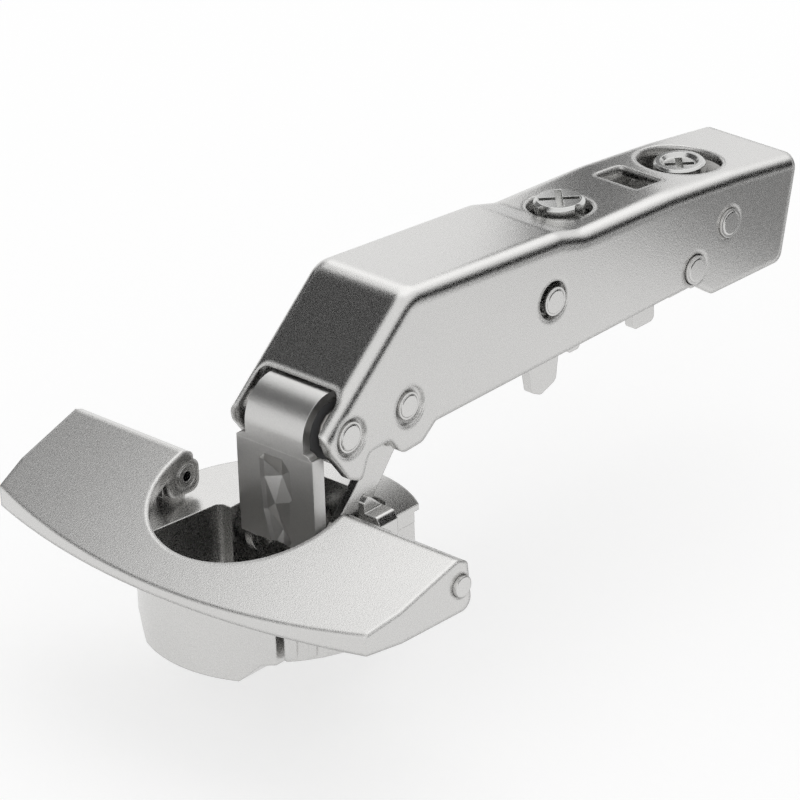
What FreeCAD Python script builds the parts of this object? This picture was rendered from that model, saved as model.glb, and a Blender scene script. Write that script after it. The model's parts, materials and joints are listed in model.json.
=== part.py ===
import FreeCAD, Part
import math
import os

from FreeCAD import Placement, Rotation, Vector

os.makedirs("parts", exist_ok=True)
doc = FreeCAD.newDocument("cup_hinge")
sheet = doc.addObject("Spreadsheet::Sheet", "sizes")

# Driving sizes in millimetres; X runs along the arm to the cup, Z up from the door's face
SIZES = {
    # Arm shell
    "arm_half_width": 8.2, "arm_sheet": 1.2, "arm_bend": 2.0, "arm_rear": -91.2,
    "arm_tail": -87.6, "arm_low": 9.5, "arm_tail_low": 6.4,
    "hump_front": -16.8, "hump_high": 28.2, "hump_rear": -44.8, "hump_rear_high": 25.6,
    "step_rear": -49.3, "step_high": 24.3, "tail_high": 20.1,
    "nose_front": -1.0, "nose_high": 14.8, "link_window_high": 18.6, "link_window_half": 6.8,
    # Pins between arm and links, and in the cup
    "outer_pin_x": -5.4, "outer_pin_z": 13.1, "outer_pin_radius": 2.0,
    "inner_pin_x": -15.94, "inner_pin_z": 13.23, "inner_pin_radius": 1.8,
    "cup_rear_pin_x": -9.75, "cup_rear_pin_z": -5.0, "cup_rear_pin_radius": 1.4,
    "cup_front_pin_x": -4.0, "cup_front_pin_z": -3.0, "cup_front_pin_radius": 1.1,
    "pin_recess_radius": 2.6, "pin_recess_depth": 0.5, "pin_fit": 0.02, "running_fit": 0.06,
    # Outer link
    "link_sheet": 1.3, "eye_radius": 5.1, "eye_half_width": 4.8, "eye_turn": 215.0,
    "web_half_width": 6.3, "web_high": 11.8, "web_low": -2.0, "wing_low": 0.6, "wing_depth": 2.0,
    "lower_link_half_width": 4.85, "link_eye_radius": 2.3, "bush_radius": 3.75,
    # Inner link
    "inner_link_half_width": 6.3, "inner_link_sheet": 1.2, "inner_eye_radius": 3.1,
    "inner_low_eye_radius": 3.1, "open_pivot_gap": 1.0, "washer_sheet": 0.5,
    # Cup
    "cup_radius": 17.3, "cup_depth": 11.6, "lobe_depth": 9.2, "band_half_width": 7.8,
    "flange_radius": 18.0, "flange_sheet": 0.8, "cup_wall": 0.8,
    "mouth_rear": 0.2, "mouth_front": 15.6, "mouth_rear_half": 9.3, "mouth_front_half": 10.7,
    "mouth_corner_x": 12.1, "slot_half_width": 7.4, "slot_rear": -13.0,
    "plate_half_length": 29.9, "plate_rear": 1.6, "plate_front": 13.5,
    # Flap
    "flap_half_width": 32.1, "flap_sheet": 1.0, "flap_high": 7.4, "flap_slope": 16.0,
    "flap_rear": 1.7, "flap_skirt_low": 0.4, "flap_front": 21.9, "flap_corner_x": 17.0,
    "flap_corner_half": 30.5, "notch_x": 3.1, "notch_radius": 13.2, "rim_depth": 0.9,
    "flap_pin_x": 1.8, "flap_pin_z": 3.9, "flap_pin_radius": 1.4, "lug_sheet": 1.2,
    "lug_reach": 15.6, "lug_gap": 0.6, "lug_round": 1.9,
    "relief_in": 1.7, "relief_radius": 0.7,
    # Clamp jaws at the cup's sides
    "body_half_width": 11.6, "body_rear_half_width": 9.8, "body_step_x": -1.4, "collar_depth": 1.4,
    "jaw_travel": 0.6, "jaw_gap": 0.15, "jaw_sheet": 1.2, "jaw_round": 0.9, "jaw_under": 0.05,
    "tab_front": -1.9, "tab_rear": -5.0, "tab_far": 13.2, "tab_sheet": 1.0, "tab_high": 7.9,
    "shelf_far": 15.7, "shelf_high": 5.9, "shelf_low": 2.0,
    # Middle channel and adapter
    "channel_half_width": 6.75, "channel_sheet": 1.2, "channel_high": 18.6,
    "channel_front": -30.0, "channel_rear": -86.0, "channel_low": 10.6, "channel_bend": 1.8,
    "adapter_half_width": 5.3, "adapter_sheet": 1.3, "adapter_high": 17.1,
    "adapter_front": -39.5, "adapter_rear": -82.5, "adapter_low": 10.2,
    # Rivets
    "guide_rivet_x": -42.8, "guide_rivet_z": 17.4, "guide_rivet_radius": 1.9,
    "guide_hole_radius": 2.6, "stop_rivet_x": -70.3, "stop_rivet_z": 11.5,
    "pivot_rivet_x": -77.2, "pivot_rivet_z": 15.6, "rivet_radius": 1.95, "rivet_gap": 0.15,
    "rivet_head": 0.35,
    # Screws
    "side_screw_x": -53.6, "side_hole_radius": 4.26, "side_head_radius": 3.3,
    "side_head_high": 25.2, "side_thread_radius": 2.0, "side_collar_radius": 4.9,
    "depth_screw_x": -77.2, "depth_hole_radius": 5.6, "depth_head_radius": 3.4,
    "depth_head_high": 22.1, "eccentric": 2.2, "cam_pin_radius": 1.1, "cam_slot_gap": 0.3,
    "square_hole_x": -67.1, "square_hole_length": 5.2, "square_hole_width": 7.2,
    # Catch
    "catch_pin_x": -73.2, "catch_pin_z": 10.6, "catch_pin_radius": 1.3, "catch_half_width": 2.2,
    # Closing spring
    "spring_wire": 0.35, "spring_coil_radius": 2.6, "spring_turns": 0.8,
}
for row, (alias, value) in enumerate(SIZES.items(), start=1):
    sheet.set(f"A{row}", alias)
    sheet.set(f"B{row}", str(value))
    sheet.setAlias(f"B{row}", alias)
doc.recompute()


class Sizes:
    """Each size of the sheet by its name."""

    def __getattr__(self, name):
        return float(sheet.get(name))


d = Sizes()
PLANES = {"XY": ("XY_Plane", 1.0), "XZ": ("XZ_Plane", -1.0), "YZ": ("YZ_Plane", 1.0)}


def contour(points):
    """Closed outline of (u, v) or (u, v, corner radius); ("via", u, v) bends a side into an arc."""
    corners = [p for p in points if p[0] != "via"]
    bends = {}
    for index, point in enumerate(points):
        if point[0] == "via":
            bends[len([p for p in points[:index] if p[0] != "via"]) - 1] = Vector(point[1], point[2], 0)
    entries = []
    count = len(corners)
    for index, corner in enumerate(corners):
        here = Vector(corner[0], corner[1], 0)
        if len(corner) == 2:
            entries.append((here, here, None))
            continue
        before = Vector(*corners[index - 1][:2], 0) - here
        after = Vector(*corners[(index + 1) % count][:2], 0) - here
        half = before.getAngle(after) / 2.0
        reach = corner[2] / math.tan(half)
        first = here + before.normalize() * reach
        last = here + after.normalize() * reach
        middle = (before + after).normalize()
        centre = here + middle * (corner[2] / math.sin(half))
        entries.append((first, last, centre - middle * corner[2]))
    edges = []
    for index, (first, last, top) in enumerate(entries):
        if top is not None:
            edges.append(Part.Arc(first, top, last))
        start = last
        end = entries[(index + 1) % count][0]
        if index in bends:
            edges.append(Part.Arc(start, bends[index], end))
        elif start.distanceToPoint(end) > 1e-6:
            edges.append(Part.LineSegment(start, end))
    return edges


def disc(u, v, radius):
    return [Part.Circle(Vector(u, v, 0), Vector(0, 0, 1), radius)]


def attach(body, name, plane, offset):
    role, sign = PLANES[plane]
    face = [f for f in body.Origin.OriginFeatures if f.Role == role][0]
    sketch = body.newObject("Sketcher::SketchObject", name + "_sketch")
    sketch.AttachmentSupport = [(face, "")]
    sketch.MapMode = "FlatFace"
    sketch.AttachmentOffset = Placement(Vector(offset[0], offset[1], sign * offset[2]), Rotation())
    return sketch


def prism(name, plane, edges, middle, length):
    """Outline on an origin plane, padded both ways from its middle; length is a number or a sheet formula."""
    body = doc.addObject("PartDesign::Body", name)
    sketch = attach(body, name, plane, (0, 0, middle))
    sketch.addGeometry(edges, False)
    pad = body.newObject("PartDesign::Pad", name + "_pad")
    pad.Profile = sketch
    pad.SideType = "Symmetric"
    if isinstance(length, str):
        pad.setExpression("Length", length)
    else:
        pad.Length = length
    return body


def turned(name, plane, points, at):
    """Half section (radius, height) turned about the sketch's upright axis."""
    body = doc.addObject("PartDesign::Body", name)
    sketch = attach(body, name, plane, at)
    sketch.addGeometry(contour(points), False)
    spin = body.newObject("PartDesign::Revolution", name + "_turn")
    spin.Profile = sketch
    spin.ReferenceAxis = (sketch, ["V_Axis"])
    spin.Angle = 360.0
    return body


def cylinder(name, axis, start, radius, length):
    """Cylinder from its start point along Y or Z."""
    item = doc.addObject("Part::Cylinder", name)
    item.Placement = Placement(start, Rotation(Vector(1, 0, 0), -90) if axis == "Y" else Rotation())
    for field, size in (("Radius", radius), ("Height", length)):
        if isinstance(size, str):
            item.setExpression(field, size)
        else:
            setattr(item, field, size)
    return item


def fuse(name, *parts):
    item = doc.addObject("Part::MultiFuse", name)
    item.Shapes = list(parts)
    item.Refine = True
    return item


def common(name, *parts):
    item = doc.addObject("Part::MultiCommon", name)
    item.Shapes = list(parts)
    return item


def cut(name, base, *tools):
    item = doc.addObject("Part::Cut", name)
    item.Base = base
    item.Tool = tools[0] if len(tools) == 1 else fuse(name + "_tools", *tools)
    return item


def rounded(name, base, radius, wanted):
    """Fillet of the edges that wanted(edge) picks."""
    doc.recompute()
    picked = [(i, radius, radius) for i, edge in enumerate(base.Shape.Edges, start=1) if wanted(edge)]
    item = doc.addObject("Part::Fillet", name)
    item.Base = base
    item.Edges = picked
    return item


def pair(name, make):
    """Like pieces on both sides; make(side name, sign) builds one."""
    return fuse(name, make(name + "_left", 1), make(name + "_right", -1))


def offset_chain(chain, distance):
    """Chain of (u, v, radius) moved sideways by a distance, with mitred corners."""
    moved = []
    for index, (u, v, *rounding) in enumerate(chain):
        normals = []
        for a, b in ((index - 1, index), (index, index + 1)):
            if a < 0 or b >= len(chain):
                continue
            run = Vector(chain[b][0] - chain[a][0], chain[b][1] - chain[a][1], 0).normalize()
            normals.append(Vector(run.y, -run.x, 0))
        turn = normals[0].add(normals[-1]).normalize()
        shift = distance / turn.dot(normals[0])
        convex = len(normals) == 1 or normals[0].cross(normals[1]).z < 0
        radius = [r - distance if convex else r + distance for r in rounding]
        moved.append((u + turn.x * shift, v + turn.y * shift, *radius))
    return moved


def on_side(edge, half_width, lowest):
    box = edge.BoundBox
    flat = box.YLength < 1e-6 and abs(abs(box.YMin) - half_width) < 1e-3
    return flat and box.ZMin > lowest


# Arm shell
TOP = [
    (d.arm_rear, d.tail_high),
    (-79.3, 21.9, 40.0),
    (-66.0, 23.4, 40.0),
    (d.step_rear, d.step_high, 4.0),
    (d.hump_rear, d.hump_rear_high, 4.0),
    (d.hump_front, d.hump_high, 4.0),
    (d.nose_front, d.nose_high),
]
arm_outline = TOP + [
    (-1.6, 12.0, 1.5),
    (-4.7, 7.7, 1.0),
    (-7.0, 6.6, 0.7),
    (-8.4, 9.9, 1.2),
    (-12.4, 10.1, 1.3),
    (-14.2, 7.4, 1.6),
    (-18.0, 7.6, 1.6),
    (-20.5, d.arm_low, 1.0),
    (-69.8, d.arm_low, 1.0),
    (-73.5, 6.8, 1.5),
    (d.arm_tail, d.arm_tail_low, 1.4),
]
arm_block = prism("arm_block", "XZ", contour(arm_outline), 0, "2 * sizes.arm_half_width")
arm_round = rounded(
    "arm_round", arm_block, d.arm_bend, lambda e: on_side(e, d.arm_half_width, d.nose_high - 1.0)
)
inner_top = offset_chain(TOP, d.arm_sheet)
rear_run = (inner_top[1][1] - inner_top[0][1]) / (inner_top[1][0] - inner_top[0][0])
front_run = (inner_top[-1][1] - inner_top[-2][1]) / (inner_top[-1][0] - inner_top[-2][0])
past_rear = d.arm_rear - 8.0
past_front = d.nose_front + 6.0
hollow_outline = (
    [(past_rear, inner_top[0][1] + rear_run * (past_rear - inner_top[0][0]))]
    + inner_top[1:-1]
    + [(past_front, inner_top[-1][1] + front_run * (past_front - inner_top[-1][0]))]
    + [(past_front, -5.0), (past_rear, -5.0)]
)
arm_hollow = prism("arm_hollow", "XZ", contour(hollow_outline), 0, "2 * (sizes.arm_half_width - sizes.arm_sheet)")
arm_hollow_round = rounded(
    "arm_hollow_round", arm_hollow, d.arm_bend - d.arm_sheet,
    lambda e: on_side(e, d.arm_half_width - d.arm_sheet, 5.5),
)
link_window = prism(
    "link_window", "YZ",
    contour([
        (-d.link_window_half, 0), (d.link_window_half, 0),
        (d.link_window_half, d.link_window_high, 1.5), (-d.link_window_half, d.link_window_high, 1.5),
    ]),
    d.nose_front, 14.0,
)
through = 2 * d.arm_half_width + 2.0


def cross_hole(name, u, v, radius):
    return cylinder(name, "Y", Vector(u, -through / 2, v), radius, through)


def pin_recesses(name, u, v):
    def one(label, side):
        start = d.arm_half_width - d.pin_recess_depth if side > 0 else -d.arm_half_width - 1.0
        return cylinder(label, "Y", Vector(u, start, v), "sizes.pin_recess_radius", "sizes.pin_recess_depth + 1")
    return pair(name, one)


side_hole = cylinder("side_hole", "Z", Vector(d.side_screw_x, 0, 20), "sizes.side_hole_radius", 8)
depth_hole = cylinder("depth_hole", "Z", Vector(d.depth_screw_x, 0, 18.8), "sizes.depth_hole_radius", 8)
square_hole = prism(
    "square_hole", "XY",
    contour([
        (d.square_hole_x + sx * d.square_hole_length / 2, sy * d.square_hole_width / 2, 0.6)
        for sx, sy in ((-1, -1), (1, -1), (1, 1), (-1, 1))
    ]),
    24.0, 10.0,
)
arm_shell = cut(
    "arm_shell", arm_round, arm_hollow_round, link_window,
    cross_hole("outer_pin_hole", d.outer_pin_x, d.outer_pin_z, "sizes.outer_pin_radius + sizes.pin_fit"),
    cross_hole("inner_pin_hole", d.inner_pin_x, d.inner_pin_z, "sizes.inner_pin_radius + sizes.pin_fit"),
    pin_recesses("outer_pin_recess", d.outer_pin_x, d.outer_pin_z),
    pin_recesses("inner_pin_recess", d.inner_pin_x, d.inner_pin_z),
    cross_hole("guide_hole", d.guide_rivet_x, d.guide_rivet_z, "sizes.guide_hole_radius"),
    cross_hole("stop_hole", d.stop_rivet_x, d.stop_rivet_z, "sizes.rivet_radius + sizes.rivet_gap"),
    cross_hole("pivot_hole", d.pivot_rivet_x, d.pivot_rivet_z, "sizes.rivet_radius + sizes.running_fit"),
    side_hole, depth_hole, square_hole,
)

# Middle channel
channel_block = prism(
    "channel_block", "XZ",
    contour([
        (d.channel_rear, 8.0, 1.5), (d.channel_rear, d.channel_high),
        (d.channel_front, d.channel_high), (d.channel_front - 2.0, d.channel_low, 1.5),
        (-68.5, d.channel_low, 1.0), (-71.0, 8.0, 1.0),
    ]),
    0, "2 * sizes.channel_half_width",
)
channel_round = rounded(
    "channel_round", channel_block, d.channel_bend,
    lambda e: on_side(e, d.channel_half_width, d.channel_high - 0.1),
)
channel_hollow = prism(
    "channel_hollow", "YZ",
    contour([
        (-d.channel_half_width + d.channel_sheet, 0),
        (d.channel_half_width - d.channel_sheet, 0),
        (d.channel_half_width - d.channel_sheet, d.channel_high - d.channel_sheet, 0.6),
        (-d.channel_half_width + d.channel_sheet, d.channel_high - d.channel_sheet, 0.6),
    ]),
    (d.channel_front + d.channel_rear) / 2, "sizes.channel_front - sizes.channel_rear + 10",
)
middle_channel = cut(
    "middle_channel", channel_round, channel_hollow,
    cross_hole("guide_seat", d.guide_rivet_x, d.guide_rivet_z, "sizes.guide_rivet_radius"),
    cross_hole("stop_seat", d.stop_rivet_x, d.stop_rivet_z, "sizes.rivet_radius"),
    cross_hole("pivot_seat", d.pivot_rivet_x, d.pivot_rivet_z, "sizes.rivet_radius"),
    cylinder("side_thread", "Z", Vector(d.side_screw_x, 0, d.channel_high - 4), "sizes.side_thread_radius + sizes.running_fit", 8),
    cylinder("depth_seat", "Z", Vector(d.depth_screw_x, 0, d.channel_high - 4), "sizes.depth_head_radius + sizes.running_fit", 8),
)


def rivet_stubs(name, u, v, radius):
    def one(label, side):
        near = d.channel_half_width - d.channel_sheet
        length = d.arm_half_width + d.rivet_head - near
        start = near if side > 0 else -near - length
        return cylinder(label, "Y", Vector(u, start, v), radius, length)
    return pair(name, one)


channel_rivets = fuse(
    "channel_rivets",
    rivet_stubs("guide_rivets", d.guide_rivet_x, d.guide_rivet_z, "sizes.guide_rivet_radius"),
    rivet_stubs("stop_rivets", d.stop_rivet_x, d.stop_rivet_z, "sizes.rivet_radius"),
    rivet_stubs("pivot_rivets", d.pivot_rivet_x, d.pivot_rivet_z, "sizes.rivet_radius"),
)

# Clip adapter
adapter_outline = [
    (d.adapter_rear, d.adapter_high), (d.adapter_front, d.adapter_high),
    (d.adapter_front, 10.5, 1.0), (-40.9, 8.5, 0.8), (-41.6, 4.0, 0.8), (-43.3, 3.2, 1.0),
    (-46.2, 4.2, 1.0), (-47.0, 9.0, 1.0), (-48.6, 9.0, 0.5), (-48.6, 6.9, 0.5), (-50.9, 6.9, 0.5),
    (-50.9, d.adapter_low, 1.0), (-61.3, d.adapter_low, 1.0), (-61.3, 5.3, 0.8), (-65.5, 5.3, 0.8),
    (-65.5, 8.0, 1.0), (-76.0, 8.0, 1.0), (d.adapter_rear, 10.0, 1.5),
]
adapter_block = prism("adapter_block", "XZ", contour(adapter_outline), 0, "2 * sizes.adapter_half_width")
adapter_round = rounded(
    "adapter_round", adapter_block, 1.6, lambda e: on_side(e, d.adapter_half_width, d.adapter_high - 0.1)
)
adapter_inner = d.adapter_half_width - d.adapter_sheet
adapter_hollow = prism(
    "adapter_hollow", "YZ",
    contour([
        (-adapter_inner, 0), (adapter_inner, 0),
        (adapter_inner, d.adapter_high - d.adapter_sheet, 0.4),
        (-adapter_inner, d.adapter_high - d.adapter_sheet, 0.4),
    ]),
    (d.adapter_front + d.adapter_rear) / 2, "sizes.adapter_front - sizes.adapter_rear + 10",
)
slot_reach = d.cam_pin_radius + d.cam_slot_gap
cam_slot = prism(
    "cam_slot", "XY",
    contour([
        (d.depth_screw_x - slot_reach, -slot_reach + d.eccentric * 0.5, 0.5),
        (d.depth_screw_x + slot_reach, -slot_reach + d.eccentric * 0.5, 0.5),
        (d.depth_screw_x + slot_reach, slot_reach + d.eccentric, 0.5),
        (d.depth_screw_x - slot_reach, slot_reach + d.eccentric, 0.5),
    ]),
    d.adapter_high, 8.0,
)
clip_adapter = cut(
    "clip_adapter", adapter_round, adapter_hollow, cam_slot,
    cross_hole("catch_seat", d.catch_pin_x, d.catch_pin_z, "sizes.catch_pin_radius + sizes.pin_fit"),
)

# Catch lever with its pin and spring
catch_pin = cylinder(
    "catch_pin", "Y", Vector(d.catch_pin_x, -d.adapter_half_width, d.catch_pin_z),
    "sizes.catch_pin_radius", "2 * sizes.adapter_half_width",
)
catch_block = prism(
    "catch_block", "XZ",
    contour([
        (-75.6, 13.2, 2.2), (-70.8, 13.2, 2.2), (-69.6, 7.4, 1.2),
        (-72.1, 4.9, 0.8), (-76.7, 4.9, 0.8), (-77.4, 7.0, 0.8), (-75.0, 8.2, 0.8),
    ]),
    0, "2 * sizes.catch_half_width",
)
catch_gap = prism(
    "catch_gap", "XY",
    contour([(-80, -1.2), (-72.0, -1.2), (-72.0, 1.2), (-80, 1.2)]), 12.0, 8.0,
)
catch_lever = cut(
    "catch_lever", catch_block, catch_gap,
    cross_hole("catch_bore", d.catch_pin_x, d.catch_pin_z, "sizes.catch_pin_radius + sizes.running_fit"),
)

# Screws
depth_neck_low = d.channel_high - d.channel_sheet + 0.1
depth_head = turned(
    "depth_head", "XZ",
    [
        (0, depth_neck_low), (d.depth_head_radius, depth_neck_low), (d.depth_head_radius, d.channel_high + 0.1),
        (d.depth_head_radius + 1.0, d.channel_high + 0.1), (d.depth_head_radius + 1.0, d.channel_high + 0.8),
        (d.depth_head_radius, d.channel_high + 0.8), (d.depth_head_radius, d.depth_head_high - 0.3),
        (d.depth_head_radius - 0.3, d.depth_head_high), (d.depth_head_radius - 0.9, d.depth_head_high),
        (d.depth_head_radius - 1.3, d.depth_head_high - 0.5), (0, d.depth_head_high - 0.5),
    ],
    (d.depth_screw_x, 0, 0),
)


def cross_slot(name, x, top, reach, width, deep):
    bars = []
    for label, angle in (("_a", 45.0), ("_b", 135.0)):
        bar = doc.addObject("Part::Box", name + label)
        bar.Length = 2 * reach
        bar.Width = width
        bar.Height = deep + 1.0
        turn = Rotation(Vector(0, 0, 1), angle)
        bar.Placement = Placement(Vector(x, 0, top - deep) - turn.multVec(Vector(reach, width / 2, 0)), turn)
        bars.append(bar)
    return fuse(name, *bars)


cam_pin = cylinder(
    "cam_pin", "Z", Vector(d.depth_screw_x, d.eccentric, d.adapter_high - d.adapter_sheet - 0.6),
    "sizes.cam_pin_radius", 2.6,
)
depth_adjust_screw = fuse(
    "depth_adjust_screw",
    cut("depth_slotted", depth_head, cross_slot("depth_cross", d.depth_screw_x, d.depth_head_high - 0.5, 1.9, 0.9, 1.4)),
    cam_pin,
)

side_low = d.channel_high - d.channel_sheet + 0.1
side_blank = turned(
    "side_blank", "XZ",
    [
        (0, side_low), (d.side_thread_radius, side_low), (d.side_thread_radius, 21.0),
        (d.side_collar_radius, 21.0), (d.side_collar_radius, 22.1), (2.4, 22.1), (2.4, 23.6),
        (d.side_head_radius, 23.6), (d.side_head_radius, d.side_head_high - 0.4),
        (d.side_head_radius - 0.4, d.side_head_high), (0, d.side_head_high),
    ],
    (d.side_screw_x, 0, 0),
)


def side_lobes(name):
    bites = []
    for k in range(4):
        angle = math.radians(90.0 * k)
        where = Vector(
            d.side_screw_x + (d.side_head_radius + 0.5) * math.cos(angle),
            (d.side_head_radius + 0.5) * math.sin(angle), 23.5,
        )
        bites.append(cylinder(f"{name}_{k}", "Z", where, 0.9, 3.0))
    return fuse(name, *bites)


side_adjust_screw = cut(
    "side_adjust_screw", side_blank, side_lobes("side_bites"),
    cross_slot("side_cross", d.side_screw_x, d.side_head_high, 2.6, 0.9, 1.3),
)
side_screw_bush = turned(
    "side_screw_bush", "XZ",
    [
        (d.side_thread_radius + d.running_fit, d.channel_high), (3.6, d.channel_high), (3.6, 20.2),
        (3.2, 20.6), (d.side_thread_radius + d.running_fit, 20.6),
    ],
    (d.side_screw_x, 0, 0),
)

# Pins of the links
def arm_pin(name, u, v, radius):
    length = 2 * (d.arm_half_width - 0.15)
    return cylinder(name, "Y", Vector(u, -length / 2, v), radius, length)


outer_link_pin = arm_pin("outer_link_pin", d.outer_pin_x, d.outer_pin_z, "sizes.outer_pin_radius")
inner_link_pin = arm_pin("inner_link_pin", d.inner_pin_x, d.inner_pin_z, "sizes.inner_pin_radius")
cup_pin_reach = d.slot_half_width + 1.8
cup_pin_rear = cylinder(
    "cup_pin_rear", "Y", Vector(d.cup_rear_pin_x, -cup_pin_reach, d.cup_rear_pin_z),
    "sizes.cup_rear_pin_radius", 2 * cup_pin_reach,
)
stub_near = d.inner_link_half_width - d.inner_link_sheet


def front_stub(label, side):
    start = stub_near if side > 0 else -cup_pin_reach
    return cylinder(
        label, "Y", Vector(d.cup_front_pin_x, start, d.cup_front_pin_z),
        "sizes.cup_front_pin_radius", cup_pin_reach - stub_near,
    )


cup_pins_front = pair("cup_pins_front", front_stub)

# Outer link
web_front = d.outer_pin_x + d.eye_radius
web_back = web_front - d.link_sheet
eye_inner = d.eye_radius - d.link_sheet
turn = math.radians(d.eye_turn)
eye_middle = turn / 2


def round_eye(radius, angle):
    return (d.outer_pin_x + radius * math.cos(angle), d.outer_pin_z + radius * math.sin(angle))


eye_strip = prism(
    "eye_strip", "XZ",
    contour([
        (web_front, d.web_high - 3.0), (web_front, d.outer_pin_z), ("via", *round_eye(d.eye_radius, eye_middle)),
        round_eye(d.eye_radius, turn), round_eye(eye_inner, turn), ("via", *round_eye(eye_inner, eye_middle)),
        (web_back, d.outer_pin_z), (web_back, d.web_high - 3.0),
    ]),
    0, "2 * sizes.eye_half_width",
)
web = prism(
    "web", "YZ",
    contour([
        (-d.lower_link_half_width, d.web_low, 0.8), (d.lower_link_half_width, d.web_low, 0.8),
        (d.lower_link_half_width, d.wing_low), (d.web_half_width, d.wing_low, 0.8),
        (d.web_half_width, d.web_high, 1.5), (-d.web_half_width, d.web_high, 1.5),
        (-d.web_half_width, d.wing_low, 0.8), (-d.lower_link_half_width, d.wing_low),
    ]),
    (web_front + web_back) / 2, "sizes.link_sheet",
)
wing_back = web_front - d.wing_depth


def wing(label, side):
    return prism(
        label, "XZ",
        contour([
            (web_front, d.wing_low), (web_front, d.web_high - 0.6), (wing_back, d.web_high - 0.6, 0.8),
            (wing_back, d.wing_low, 0.6),
        ]),
        side * (d.web_half_width - d.link_sheet / 2), "sizes.link_sheet",
    )


def lower_arm(label, side):
    eye_x = d.cup_rear_pin_x
    eye_z = d.cup_rear_pin_z
    r = d.link_eye_radius
    return prism(
        label, "XZ",
        contour([
            (web_front, d.web_low + 0.3, 0.8), (web_front, 4.0, 0.6), (web_back - 0.6, 4.0, 0.8),
            (web_back - 2.8, 0.6, 2.0),
            (eye_x + 1.2, eye_z + r), ("via", eye_x - r, eye_z), (eye_x + 0.8, eye_z - r),
        ]),
        side * (d.lower_link_half_width - d.link_sheet / 2), "sizes.link_sheet",
    )


outer_blank = fuse("outer_blank", eye_strip, web, pair("wings", wing), pair("lower_arms", lower_arm))
web_recess = prism(
    "web_recess", "YZ",
    contour([(-3.4, -6.0), (3.4, -6.0), (3.8, 8.8, 2.6), (-3.8, 8.8, 2.6)]),
    web_front, 0.9,
)
outer_link = cut(
    "outer_link", outer_blank, web_recess,
    cross_hole("rear_pin_bore", d.cup_rear_pin_x, d.cup_rear_pin_z, "sizes.cup_rear_pin_radius + sizes.running_fit"),
)
link_bush = turned(
    "link_bush", "XY",
    [
        (d.outer_pin_radius + d.running_fit, -d.eye_half_width + 0.1), (d.bush_radius, -d.eye_half_width + 0.1),
        (d.bush_radius, d.eye_half_width - 0.1), (d.outer_pin_radius + d.running_fit, d.eye_half_width - 0.1),
    ],
    (d.outer_pin_x, 0, d.outer_pin_z),
)

# Inner link
inner_eye = d.inner_eye_radius
low_eye = d.inner_low_eye_radius


link_run = Vector(d.cup_front_pin_x - d.inner_pin_x, d.cup_front_pin_z - d.inner_pin_z, 0)
link_length = link_run.Length
link_run.normalize()


def along_link(distance, height):
    """Point of the side view at a distance from the arm's pin, above the line between the pins."""
    return (
        d.inner_pin_x + link_run.x * distance - link_run.y * height,
        d.inner_pin_z + link_run.y * distance + link_run.x * height,
    )


def cheek(label, side):
    slim = 1.7
    low_start = link_length - 1.6
    return prism(
        label, "XZ",
        contour([
            along_link(0.8, inner_eye - 0.1), ("via", *along_link(5.6, slim + 0.1)), along_link(12.5, slim),
            along_link(low_start, low_eye - 0.4), ("via", *along_link(link_length + low_eye, 0)),
            along_link(low_start, 0.4 - low_eye), (*along_link(13.0, -2.2), 4.0), along_link(0.8, 0.1 - inner_eye),
            ("via", *along_link(-inner_eye, 0)),
        ]),
        side * (d.inner_link_half_width - d.inner_link_sheet / 2), "sizes.inner_link_sheet",
    )


inner_web = prism(
    "inner_web", "XZ",
    contour([along_link(4.5, -0.9), along_link(10.0, -0.9), along_link(10.0, -2.1), along_link(4.5, -2.1)]),
    0, "2 * sizes.inner_link_half_width - 1",
)
inner_link = cut(
    "inner_link", fuse("inner_blank", pair("cheeks", cheek), inner_web),
    cross_hole("inner_eye_bore", d.inner_pin_x, d.inner_pin_z, "sizes.inner_pin_radius + sizes.running_fit"),
    cross_hole("low_eye_bore", d.cup_front_pin_x, d.cup_front_pin_z, "sizes.cup_front_pin_radius + sizes.open_pivot_gap"),
)

# Washers beside the inner link's eye
def washer(label, side):
    near = d.inner_link_half_width + 0.05
    start = near if side > 0 else -near - d.washer_sheet
    ring = cylinder(label + "_ring", "Y", Vector(d.inner_pin_x, start, d.inner_pin_z), 3.0, "sizes.washer_sheet")
    bore = cylinder(
        label + "_bore", "Y", Vector(d.inner_pin_x, start - 1, d.inner_pin_z),
        "sizes.inner_pin_radius + sizes.pin_fit", 3,
    )
    return cut(label, ring, bore)


pin_washers = pair("pin_washers", washer)

# Hinge cup
cup_block = prism(
    "cup_block", "YZ",
    contour([
        (-18, 0), (-18, -d.lobe_depth), (-d.band_half_width - d.cup_depth + d.lobe_depth, -d.lobe_depth),
        (-d.band_half_width, -d.cup_depth), (d.band_half_width, -d.cup_depth),
        (d.band_half_width + d.cup_depth - d.lobe_depth, -d.lobe_depth), (18, -d.lobe_depth), (18, 0),
    ]),
    0, 40,
)


def on_circle(radius, half):
    return math.sqrt(radius**2 - half**2)


body_front_x = on_circle(d.cup_radius, d.body_half_width)
body_rear_x = -on_circle(d.cup_radius, d.body_rear_half_width)
cup_plan = prism(
    "cup_plan", "XY",
    contour([
        (body_front_x, -d.body_half_width), ("via", d.cup_radius, 0), (body_front_x, d.body_half_width),
        (d.body_step_x, d.body_half_width), (d.body_step_x, d.body_rear_half_width),
        (body_rear_x, d.body_rear_half_width), ("via", -d.cup_radius, 0), (body_rear_x, -d.body_rear_half_width),
        (d.body_step_x, -d.body_rear_half_width), (d.body_step_x, -d.body_half_width),
    ]),
    -d.cup_depth / 2, "sizes.cup_depth + 2",
)
cup_body = common("cup_body", cup_block, cup_plan)
collar = cylinder("collar", "Z", Vector(0, 0, -d.collar_depth), "sizes.cup_radius", "sizes.collar_depth + 0.1")
flange = cylinder("flange", "Z", Vector(0, 0, 0), "sizes.flange_radius", "sizes.flange_sheet")
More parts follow.
